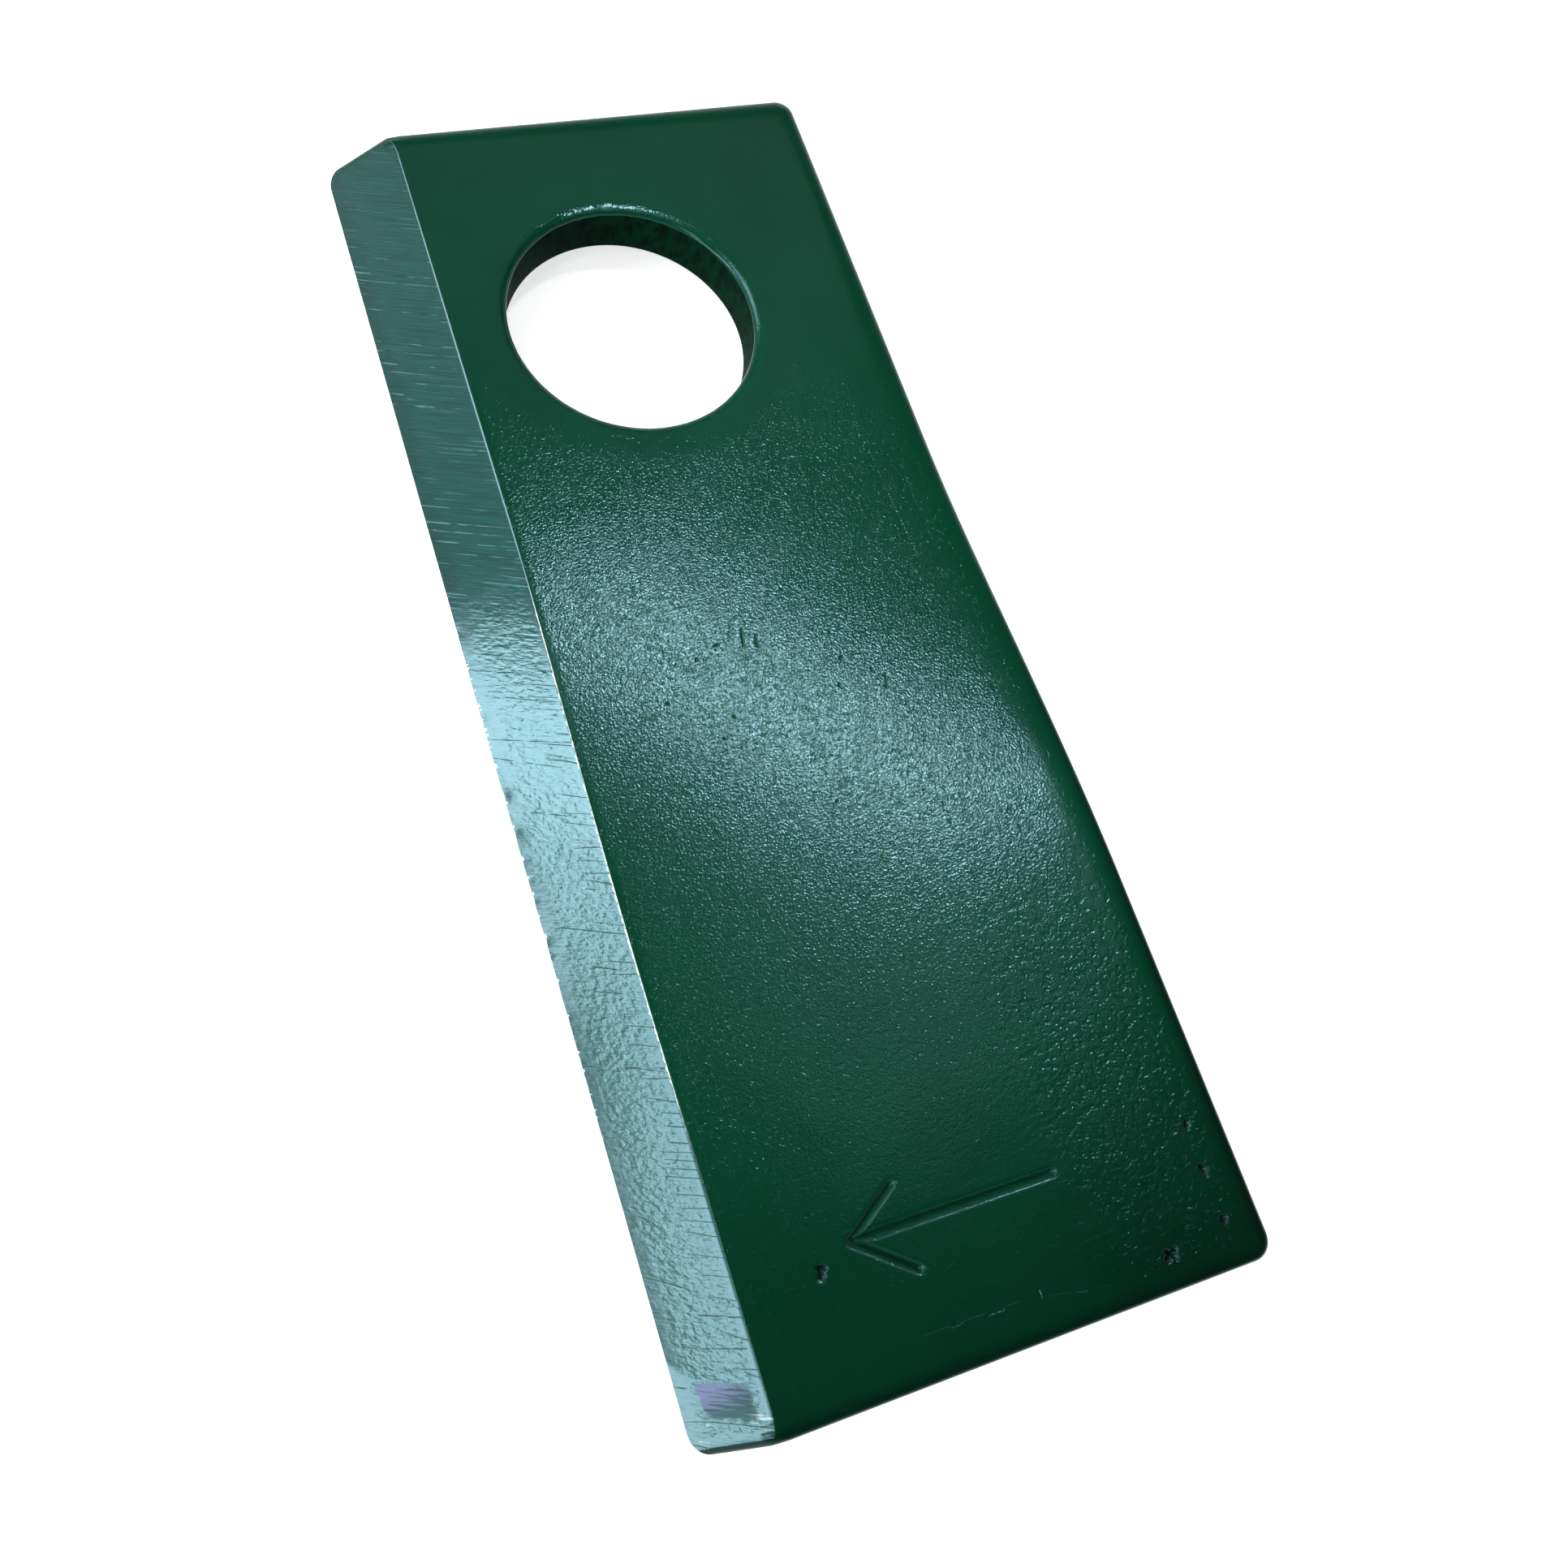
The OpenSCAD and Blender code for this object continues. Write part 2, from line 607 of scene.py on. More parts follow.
    def fill(
        self, loops: Sequence[Sequence[Vector]], inner: Sequence[Vector], height: float
    ) -> list[list[int]]:
        """Adds a flat triangulated face between an outer and an inner loop.

        Args:
            loops: closed loops in plan, the outline first and the hole last.
            inner: further points in plan.
            height: height of the face.

        Returns:
            The vertex numbers of each loop.
        """
        plan: list[Vector] = []
        edges: list[tuple[int, int]] = []
        spans = []
        for loop in loops:
            first = len(plan)
            plan.extend(loop)
            edges.extend((first + k, first + (k + 1) % len(loop)) for k in range(len(loop)))
            spans.append((first, len(plan)))
        plan.extend(inner)
        placed, _, triangles, origins, _, _ = delaunay_2d_cdt(
            plan, edges, [], self.INSIDE_LOOPS, self.MERGE_GAP
        )
        base = self.level(placed, height)[0]
        centre = Vector((-self.sizes.mid_width, 0.0))
        hole = min((point - centre).length for point in loops[-1]) * math.cos(math.pi / self.RIM_SIDES)
        for triangle in triangles:
            middle = sum((placed[k] for k in triangle), Vector((0.0, 0.0))) / 3
            if (middle - centre).length > hole:
                self.faces.append([base + k for k in triangle])
        number = {origin: base + k for k, group in enumerate(origins) for origin in group}
        return [[number[k] for k in range(*span)] for span in spans]

    def level(self, plan: Sequence[Vector], height: float) -> list[int]:
        """Adds vertices at one height, and gives their numbers."""
        first = len(self.points)
        self.points.extend(Vector((p.x + self.sizes.mid_width, p.y, height)) for p in plan)
        return list(range(first, len(self.points)))

    def wall(self, rows: Sequence[Sequence[int]]) -> None:
        """Adds quads between rows of vertices.

        Args:
            rows: closed rows of as many vertices each, from the top down.
        """
        for upper, lower in zip(rows, rows[1:]):
            for k in range(len(upper)):
                after = (k + 1) % len(upper)
                self.walls.add(len(self.faces))
                self.faces.append((upper[k], lower[k], lower[after], upper[after]))

    def upper_skin(self) -> tuple[list[int], list[int]]:
        """Adds the upper skin and gives the vertex rows of its outline and of the hole."""
        s = self.sizes
        stations = [s.roll_width * share for share in self.roll_stations()]
        loop_reach = self.LOOP_SHARE * s.corner_radius
        loops = [self.outline(inset) for inset in stations if inset < loop_reach]
        mouths = [self.ring(s.bore_radius + s.rim_width * share) for share in reversed(self.roll_stations())]
        sieve = Sieve()
        for loop in (*loops, *mouths):
            for point in loop:
                sieve.keep(point)
        inner = sieve.pick(self.crest_points(), self.CREST_GAP)
        for mark in self.marks:
            inner += sieve.pick(self.mark_points(mark), self.MARK_GAP)
        for inset in stations:
            if inset >= loop_reach:
                x, low, high = s.half_width - inset, s.tip + inset, s.mount_end - inset
                corners = [Vector(place) for place in ((x, low), (x, high), (-x, high), (-x, low))]
                for corner, after in zip(corners, (*corners[1:], corners[0])):
                    inner += sieve.pick(self.side(corner, after, self.SIDE_STEP), self.ROLL_GAP)
        crest = s.crest(0.0)
        bevel = self.grid(self.BEVEL_GRID, -s.half_width + self.BEVEL_MARGIN, crest, self.BEVEL_MARGIN)
        inner += sieve.pick(bevel, self.BEVEL_GAP)
        face = self.grid(self.FACE_GRID, crest, s.half_width - s.roll_width, s.roll_width)
        inner += sieve.pick(face, self.FACE_GAP)
        rows = self.fill([*loops, *mouths], inner, s.thickness)
        self.upper_count = len(self.points)
        return rows[0], rows[-1]

    def build(self) -> bpy.types.Object:
        """Makes the blank's object.

        Returns:
            An object whose mesh says which vertices are upper ones and which faces are walls.
        """
        s = self.sizes
        rim, mouth = self.upper_skin()
        half_round = s.lower_round * (1 - math.sqrt(0.5))
        under_rim, under_mouth = self.fill(
            [self.outline(s.lower_round), self.ring(s.bore_radius + s.lower_round)],
            self.grid(self.UNDER_GRID, -s.half_width + self.UNDER_GRID, s.half_width, self.UNDER_GRID),
            0.0,
        )
        rounds = ((0.0, s.lower_round), (half_round, half_round))
        side = [self.level(self.outline(inset), height) for inset, height in rounds]
        bore = [self.level(self.ring(s.bore_radius + inset), height) for inset, height in rounds]
        self.wall([rim, *side, under_rim])
        self.wall([mouth, *bore, under_mouth])
        mesh = bpy.data.meshes.new("blade_blank")
        mesh.from_pydata(self.points, [], self.faces)
        upper = mesh.attributes.new("upper", "FLOAT", "POINT")
        upper.data.foreach_set("value", [float(k < self.upper_count) for k in range(len(self.points))])
        wall = mesh.attributes.new("wall", "FLOAT", "FACE")
        wall.data.foreach_set("value", [float(k in self.walls) for k in range(len(self.faces))])
        shape = bmesh.new()
        shape.from_mesh(mesh)
        loose = [vertex for vertex in shape.verts if not vertex.link_faces]
        bmesh.ops.delete(shape, geom=loose, context="VERTS")
        bmesh.ops.recalc_face_normals(shape, faces=shape.faces)
        shape.to_mesh(mesh)
        shape.free()
        return added("blade_blank", mesh)


@dataclass(frozen=True)
class Chipping:
    """Small bites along the cutting edge, deepest over the middle of the blade."""

    depth: float = 0.10 * MM
    size: float = 1.5 * MM
    reach: float = 0.6 * MM
    threshold: float = 0.52
    full: float = 0.75
    middle: float = -38.0 * MM
    spread: float = 22.0 * MM
    elsewhere: float = 0.1


@dataclass(frozen=True)
class Unevenness:
    """Gentle relief of the ground bevel and of the hole's drawn mouth, which is torn towards one side."""

    bevel_height: float = 0.05 * MM
    bevel_size: float = 1.1 * MM
    rim_height: float = 0.06 * MM
    torn_height: float = 0.14 * MM
    torn_way: Place = (-0.42, 0.91)
    torn_span: Span = (0.75, 0.95)
    rim_size: float = 0.6 * MM
    rim_reach: float = 1.4 * MM


class BladeForming:
    """Geometry Nodes tree that rolls, grinds, stamps, chips and twists the flat blank."""

    SEED_PLACE = 7.0
    LEAST_GROOVE = 0.2
    NUMBERS = (
        "thickness", "half_width", "mid_width", "mount_end", "tip", "corner_radius", "roll_depth",
        "roll_width", "bore_radius", "rim_depth", "rim_width", "edge_land", "bevel_slope",
        "crest_softness", "twist", "twist_start", "twist_end", "bevel_end_drop", "bevel_end_round",
    )

    def __init__(
        self, sizes: BladeSizes, marks: Sequence[Mark], materials: Mapping[str, bpy.types.Material]
    ) -> None:
        """Keeps the sizes, the marks and the materials of the face, the bevel and the walls."""
        self.sizes = sizes
        self.marks = marks
        self.materials = materials
        self.tree = bpy.data.node_groups.new("blade_forming", "GeometryNodeTree")
        self.graph = Graph(self.tree)
        self.values: dict[str, Any] = {}
        self.group: Optional[bpy.types.Node] = None

    def declare(self) -> None:
        """Gives the tree its named inputs and its output."""
        chip = Chipping()
        for name in self.NUMBERS:
            self.values[name.replace("_", " ").title()] = getattr(self.sizes, name)
        self.values.update({"Chip Depth": chip.depth, "Chip Reach": chip.reach})
        self.values.update({f"{kind.name.title()} Path": self.path(kind) for kind in MarkKind})
        self.values.update(self.materials)
        face = self.tree.interface
        face.new_socket("Geometry", in_out="INPUT", socket_type="NodeSocketGeometry")
        for name, value in self.values.items():
            kind = type(value).__name__.title()
            face.new_socket(name, in_out="INPUT", socket_type=f"NodeSocket{kind}")
        face.new_socket("Geometry", in_out="OUTPUT", socket_type="NodeSocketGeometry")
        self.group = self.graph.node("NodeGroupInput")

    def path(self, kind: MarkKind) -> bpy.types.Object:
        """Makes the lines of one kind of mark as an object of edges, level with the blank's upper skin.

        Args:
            kind: the kind of mark.

        Returns:
            The object, which the forming removes when it is done.
        """
        points, edges = [], []
        for mark in self.marks:
            if mark.kind is kind:
                edges.append((len(points), len(points) + 1))
                for across, along in (mark.start, mark.end):
                    points.append((across * MM + self.sizes.mid_width, along * MM, self.sizes.thickness))
        mesh = bpy.data.meshes.new(f"{kind.name.lower()}_path")
        mesh.from_pydata(points, edges, [])
        return added(mesh.name, mesh)

    def given(self, name: str) -> Wire:
        """One of the tree's inputs."""
        return self.graph.out(self.group, name)

    def drop(self, gap: Wire, depth: Wire, width: Wire) -> Wire:
        """Drop of a rolled edge, a quarter of an ellipse, at a gap in from the edge."""
        left = 1.0 - (gap / width).greater(0.0).lesser(1.0)
        return depth * (1.0 - (1.0 - left * left).greater(0.0).root())

    def groove(self, kind: MarkKind, place: Wire) -> Wire:
        """Depth of one kind of mark at a place on the blank.

        Args:
            kind: the kind of mark.
            place: the place.

        Returns:
            The depth, 0 away from the marks.
        """
        g = self.graph
        section = kind.value
        target = g.node("GeometryNodeObjectInfo", {"transform_space": "ORIGINAL"})
        g.feed(target.inputs["Object"], self.given(f"{kind.name.title()} Path"))
        near = g.node("GeometryNodeProximity", {"target_element": "EDGES"}, {0: g.out(target, "Geometry")})
        uneven = 1.0 + section.ragged * (g.noise(place, 2 * section.reach, 1.0) - 0.5) * 2.0
        reach = section.reach * uneven.greater(self.LEAST_GROOVE)
        left = (1.0 - g.out(near, "Distance") / reach).greater(0.0)
        return section.depth * left * left

    def store(self, geometry: Wire, name: Marked, value: Wire, kind: str = "FLOAT") -> Wire:
        """Keeps a field on the points.

        Args:
            geometry: what it is kept on.
            name: name of the attribute.
            value: the field.
            kind: Blender's name of its data type.

        Returns:
            The geometry that holds it.
        """
        settings = {"data_type": kind, "domain": "POINT"}
        sockets = {"Geometry": geometry, "Name": name.value, "Value": value}
        return self.graph.result("GeometryNodeStoreNamedAttribute", settings, sockets)

    def moved(self, geometry: Wire, **sockets: Source) -> Wire:
        """Geometry after a Set Position node with these inputs."""
        return self.graph.result("GeometryNodeSetPosition", {}, {"Geometry": geometry, **sockets})

    def named(self, name: str, kind: str = "FLOAT") -> Wire:
        """An attribute as a field."""
        return self.graph.result("GeometryNodeInputNamedAttribute", {"data_type": kind}, {"Name": name})

    def shape_upper(self, geometry: Wire) -> Wire:
        """Rolls, grinds and stamps the upper skin, and keeps what the finishes need.

        Args:
            geometry: the flat blank.

        Returns:
            The formed bar, not yet twisted.
        """
        g, given = self.graph, self.given
        rough = Unevenness()
        place = g.result("GeometryNodeInputPosition")
        x, along, height = g.parts(place)
        across = x - given("Mid Width")
        radius = given("Corner Radius")
        end = (given("Mount End") - along).lesser(along - given("Tip"))
        back, front = given("Half Width") - across, across + given("Half Width")
        past_x, past_y = radius - back, radius - end
        round_x, round_y = past_x.greater(0.0), past_y.greater(0.0)
        inset = radius - (round_x * round_x + round_y * round_y).root() - past_x.greater(past_y).lesser(0.0)
        hole = (x * x + along * along).root() - given("Bore Radius")
        face = given("Thickness") - self.drop(inset, given("Roll Depth"), given("Roll Width"))
        face = face - self.drop(hole, given("Rim Depth"), given("Rim Width"))
        ground = given("Edge Land") + front * given("Bevel Slope")
        crest = (ground - face) / given("Bevel Slope")
        round_end = given("Bevel End Round")
        bumps = g.noise(place, rough.bevel_size, 1.0) - 0.5
        within = front.rise(0.0, rough.bevel_size) * (-crest).rise(0.0, rough.bevel_size)
        bevel = ground - self.drop(end, given("Bevel End Drop"), round_end)
        bevel = bevel + rough.bevel_height * bumps * within
        lumps = g.noise(place, rough.rim_size, 1.0) - 0.5
        mouth = 1.0 - hole.rise(0.3 * rough.rim_reach, rough.rim_reach)
        torn = (x * rough.torn_way[0] + along * rough.torn_way[1]) / (hole + given("Bore Radius"))
        lump_height = rough.rim_height + rough.torn_height * torn.rise(*rough.torn_span)
        marked = face + lump_height * lumps * mouth
        cuts = {kind: self.groove(kind, place) for kind in MarkKind}
        for cut in cuts.values():
            marked = marked - cut
        top = g.math("SMOOTH_MIN", bevel, marked, given("Crest Softness"))
        kept = {
            Marked.EDGE: inset.lesser(front),
            Marked.HOLE: hole,
            Marked.CREST: crest.greater(round_end - end),
            Marked.PIT: cuts[MarkKind.PIT],
            Marked.STAMP: cuts[MarkKind.ARROW],
        }
        geometry = self.store(geometry, Marked.FLAT, g.vector(across, along, height), "FLOAT_VECTOR")
        for name, value in kept.items():
            geometry = self.store(geometry, name, value)
        raised = g.between(self.named("upper"), height, top)
        return self.moved(geometry, Position=g.vector(x, along, raised))

    def chip_edge(self, geometry: Wire) -> Wire:
        """Bites small chips out of the cutting edge.

        Args:
            geometry: the formed bar.

        Returns:
            The bar with its chips.
        """
        g = self.graph
        chip = Chipping()
        across, along, _ = g.parts(self.named(Marked.FLAT.value, "FLOAT_VECTOR"))
        lot = g.noise(g.vector(self.SEED_PLACE, along / chip.size, 0.0), 1.0, 2.0, 0.6)
        much = 1.0 - abs(along - chip.middle).rise(0.2 * chip.spread, chip.spread)
        bite = (lot - chip.threshold).greater(0.0) * (1.0 / (chip.full - chip.threshold))
        near = 1.0 - (across + self.given("Half Width")).rise(0.0, self.given("Chip Reach"))
        shift = self.given("Chip Depth") * bite * near * (chip.elsewhere + (1.0 - chip.elsewhere) * much)
        return self.moved(geometry, Offset=g.vector(shift, 0.0, 0.0))

    def twisted(self, geometry: Wire) -> Wire:
        """Turns the bar about its middle, more and more towards the tip.

        Args:
            geometry: the straight bar.

        Returns:
            The twisted bar.
        """
        g = self.graph
        place = g.result("GeometryNodeInputPosition")
        _, along, _ = g.parts(place)
        turn = (-along).rise(-self.given("Twist Start"), -self.given("Twist End")) * self.given("Twist")
        centre = g.vector(self.given("Mid Width"), along, self.given("Thickness") * 0.5)
        sockets = {"Vector": place, "Center": centre, "Angle": -turn}
        turned = g.result("ShaderNodeVectorRotate", {"rotation_type": "Y_AXIS"}, sockets)
        return self.moved(geometry, Position=turned)

    def painted(self, geometry: Wire) -> Wire:
        """Gives the face, the bevel and the walls their materials.

        Args:
            geometry: the twisted bar.

        Returns:
            The dressed bar.
        """
        wall = self.named("wall")
        bevel = (self.named(Marked.CREST.value) < 0.0) * self.named("upper") * (1.0 - wall)
        choices: dict[str, Source] = {"Paint": True, "Bevel": bevel, "Wall": wall}
        for name, choice in choices.items():
            sockets = {"Geometry": geometry, "Selection": choice, "Material": self.given(name)}
            geometry = self.graph.result("GeometryNodeSetMaterial", {}, sockets)
        return geometry

    def form(self, blank: bpy.types.Object) -> bpy.types.Mesh:
        """Forms the blank.

        Args:
            blank: the flat blank, which is removed with the lines of the marks.

        Returns:
            The finished mesh.
        """
        g = self.graph
        self.declare()
        bar = self.twisted(self.chip_edge(self.shape_upper(self.given("Geometry"))))
        bar = g.result("GeometryNodeRealizeInstances", {}, {0: bar})
        g.node("NodeGroupOutput", {}, {0: self.painted(bar)})
        modifier = blank.modifiers.new("forming", "NODES")
        modifier.node_group = self.tree
        for item in self.tree.interface.items_tree:
            if item.in_out == "INPUT" and item.name in self.values:
                modifier[item.identifier] = self.values[item.name]
        depsgraph = bpy.context.evaluated_depsgraph_get()
        mesh = bpy.data.meshes.new_from_object(
            blank.evaluated_get(depsgraph), preserve_all_data_layers=True, depsgraph=depsgraph
        )
        blank.modifiers.remove(modifier)
        helpers = [value for value in self.values.values() if isinstance(value, bpy.types.Object)]
        for thing in (blank, *helpers):
            bpy.data.objects.remove(thing)
        return mesh


class Finish:
    """A material and the nodes that every finish of the blade starts from."""

    def __init__(self, name: str) -> None:
        """Makes the material with an empty tree."""
        self.material = bpy.data.materials.new(name)
        self.material.use_nodes = True
        self.material.node_tree.nodes.clear()
        self.graph = Graph(self.material.node_tree)

    def marked(self, name: Marked, output: str = "Fac") -> Wire:
        """What the forming left on the blade under a name, as a number unless another output is named."""
        return self.graph.result("ShaderNodeAttribute", {"attribute_name": name.value}, {}, output)

    def flat(self) -> tuple[Wire, Wire, Wire]:
        """Place on the blank before it was twisted: across, along and up."""
        return self.graph.parts(self.marked(Marked.FLAT, "Vector"))

    def spot(self) -> Wire:
        """Place in the blade's own frame."""
        return self.graph.result("ShaderNodeTexCoord", {}, {}, "Object")

    def close(self, height: Wire, **sockets: Source) -> bpy.types.Material:
        """Ends the tree in one surface.

        Args:
            height: relief in metres.
            **sockets: inputs of the surface, with _ for a space.

        Returns:
            The material.
        """
        g = self.graph
        bump = g.result("ShaderNodeBump", {}, {"Strength": 1.0, "Distance": 1.0, "Height": height})
        named = {name.replace("_", " "): value for name, value in sockets.items()}
        surface = g.result("ShaderNodeBsdfPrincipled", {}, {**named, "Normal": bump})
        g.node("ShaderNodeOutputMaterial", {}, {"Surface": surface})
        return self.material


@dataclass(frozen=True)
class GreenPaint:
    """Semi-gloss green stoving paint, grained like orange peel and calm towards edges and the hole, darkened
    by painted shade.

    A span says in millimetres where an effect starts and where it is complete.
    """

    colour: Colour = (0.0012, 0.050, 0.0225)
    pale: Colour = (0.0016, 0.056, 0.0255)
    # Colour of the painted shade towards the tip, on the rolled edges and in the pits.
    deep: Colour = (0.0005, 0.010, 0.004)
    gloss_tint: Colour = (0.46, 0.82, 1.0)
    roughness: float = 0.15
    stamp_roughness: float = 0.22
    grain_size: float = 0.18 * MM
    grain_height: float = 0.030 * MM
    calm_grain: float = 0.08
    tip_grain: float = 0.3
    wave_size: float = 2.4 * MM
    wave_height: float = 0.006 * MM
    pock_size: float = 0.36 * MM
    pock_depth: float = 0.02 * MM
    rim_size: float = 0.22 * MM
    rim_height: float = 0.02 * MM
    dimple_size: float = 0.5 * MM
    dimple_depth: float = 0.025 * MM
    cloud_size: float = 9.0 * MM
    dull_size: float = 4.0 * MM
    grain_edge: Span = (1.2, 5.0)
    grain_hole: Span = (0.8, 3.6)
    grain_crest: Span = (0.1, 0.6)
    grain_mount: Span = (-6.0, 10.0)
    smooth_along: Span = (-70.0, -50.0)
    smooth_across: Span = (6.0, 13.0)
    rim_inner: Span = (0.0, 0.2)
    rim_outer: Span = (0.8, 1.4)
    pock_edge: Span = (1.0, 2.0)
    pock_along: Span = (-30.0, 0.0)
    dimple_edge: Span = (0.6, 1.8)
    dimple_across: Span = (5.0, 12.0)
    dimple_along: Span = (-64.0, -44.0)
    dimple_tip: Span = (-76.0, -64.0)
    # Spans of the painted shade, stronger towards the right side and towards the tip.
    shade_across: Span = (4.0, 14.0)
    shade_along: Span = (-80.0, -58.0)
    # Spans of the darker rolled edges, partly painted shade and partly thicker paint.
    rolled_edge: Span = (0.1, 1.3)
    rolled_along: Span = (-60.0, -20.0)
    stamp_depth: Span = (0.0, 0.08)
    # Depths over which painted shade darkens the pits.
    pit_depth: Span = (0.03, 0.10)

    def make(self) -> bpy.types.Material:
        """Makes the material of the faces."""
        finish = Finish("green_paint")
        g = finish.graph
        spot = finish.spot()
        across, along, _ = finish.flat()
        edge, hole = finish.marked(Marked.EDGE), finish.marked(Marked.HOLE)
        crest, pit = finish.marked(Marked.CREST), finish.marked(Marked.PIT)
        stamped = finish.marked(Marked.STAMP).greater(pit).rise_mm(*self.stamp_depth)
        open_face = edge.rise_mm(*self.grain_edge) * hole.rise_mm(*self.grain_hole)
        open_face = open_face * crest.rise_mm(*self.grain_crest) * along.fall_mm(*self.grain_mount)
        open_side = along.rise_mm(*self.smooth_along).greater(0.8 * across.rise_mm(*self.smooth_across))
        smooth_tip = self.tip_grain + (1.0 - self.tip_grain) * open_side.greater(stamped)
        amount = (self.calm_grain + (1.0 - self.calm_grain) * open_face) * smooth_tip
        grain = g.noise(spot, self.grain_size, 1.0, 0.55)
        wave = g.noise(spot, self.wave_size, 1.0)
        rim = g.noise(spot, self.rim_size, 1.0) * hole.rise_mm(*self.rim_inner)
        rim = rim * hole.fall_mm(*self.rim_outer)
        height = self.grain_height * amount * grain + self.wave_height * wave + self.rim_height * rim
        pocks = g.noise(spot, self.pock_size, 1.0).rise(0.60, 0.70) * edge.rise_mm(*self.pock_edge)
        height = height - self.pock_depth * pocks * along.fall_mm(*self.pock_along) * smooth_tip
        dimples = g.noise(spot, self.dimple_size, 1.0).rise(0.48, 0.66) * edge.rise_mm(*self.dimple_edge)
        beside = across.rise_mm(*self.dimple_across) * along.fall_mm(*self.dimple_along)
        beside = beside * (0.4 + 0.6 * along.rise_mm(*self.dimple_tip))
        height = height - self.dimple_depth * dimples * beside
        cloud = g.noise(spot, self.cloud_size, 2.0).rise(0.35, 0.65)
        colour = g.blend(cloud, self.colour, self.pale)
        # Painted shade: the green darkens towards the tip, more on the right side, for the shade that falls
        # there.
        painted_shade_share = 0.45 + 0.30 * across.rise_mm(*self.shade_across)
        colour = g.blend(painted_shade_share * along.fall_mm(*self.shade_along), colour, self.deep)
        # The rolled edges darken towards the tip half, partly as painted shade and partly for thicker paint.
        # Painted shade darkens the pits' hollows to near black.
        rolled = edge.fall_mm(*self.rolled_edge) * along.fall_mm(*self.rolled_along)
        colour = g.blend((0.75 * rolled).greater(pit.rise_mm(*self.pit_depth)), colour, self.deep)
        dull = g.noise(spot, self.dull_size, 2.0) - 0.5
        roughness = self.roughness + 0.08 * dull + self.stamp_roughness * stamped
        return finish.close(height, Base_Color=colour, Roughness=roughness, Specular_Tint=self.gloss_tint)


@dataclass(frozen=True)
class ShearedWall:
    """Sheared sides of the bar and of the hole under the same paint, darkened as painted shade, lined above
    and torn below.
    """

    # Painted shade: the walls' paint is darker than the face's, for the shade on the sides and inside the
    # hole.
    colour: Colour = (0.001, 0.022, 0.010)
    dark: Colour = (0.0005, 0.008, 0.0035)
    gloss_tint: Colour = (0.49, 0.82, 1.0)
    gloss: float = 0.05
    roughness: float = 0.8
    line_size: float = 0.3 * MM
    line_stretch: float = 0.06
    line_height: float = 0.03 * MM
    tear_size: float = 0.7 * MM
    tear_stretch: float = 0.6
    tear_height: float = 0.09 * MM
    tear_top: Span = (0.8, 2.6)

    def make(self) -> bpy.types.Material:
        """Makes the material of the walls."""
        finish = Finish("sheared_wall")
        g = finish.graph
        x, y, z = g.parts(finish.spot())
        _, _, up = finish.flat()
        lines = g.noise(g.vector(x, y, z * self.line_stretch), self.line_size, 2.0)
        torn = g.noise(g.vector(x, y, z * self.tear_stretch), self.tear_size, 3.0, 0.6)
        height = self.line_height * lines + self.tear_height * up.fall_mm(*self.tear_top) * torn
        return finish.close(
            height,
            Base_Color=g.blend(torn.rise(0.35, 0.6), self.dark, self.colour),
            Roughness=self.roughness,
            Specular_IOR_Level=self.gloss,
            Specular_Tint=self.gloss_tint,
        )


@dataclass(frozen=True)
class Layer:
    """A noise over the bevel: its stretch across, its size, which of many it is and its detail."""

    stretch: float
    size: float
    lot: float
    detail: float = 2.0

    def read(self, across: Wire, travel: Wire) -> Wire:
        """The noise at a place across and along the bevel."""
        g = across.graph
        return g.noise(g.vector(across * self.stretch, travel, self.lot), self.size, self.detail, 0.55)

    def crossing(self, across: Wire, travel: Wire, width: float) -> Wire:
        """1 on the thin lines where the noise passes its middle, 0 elsewhere."""
        return 1.0 - abs(self.read(across, travel) - 0.5).rise(0.0, width)


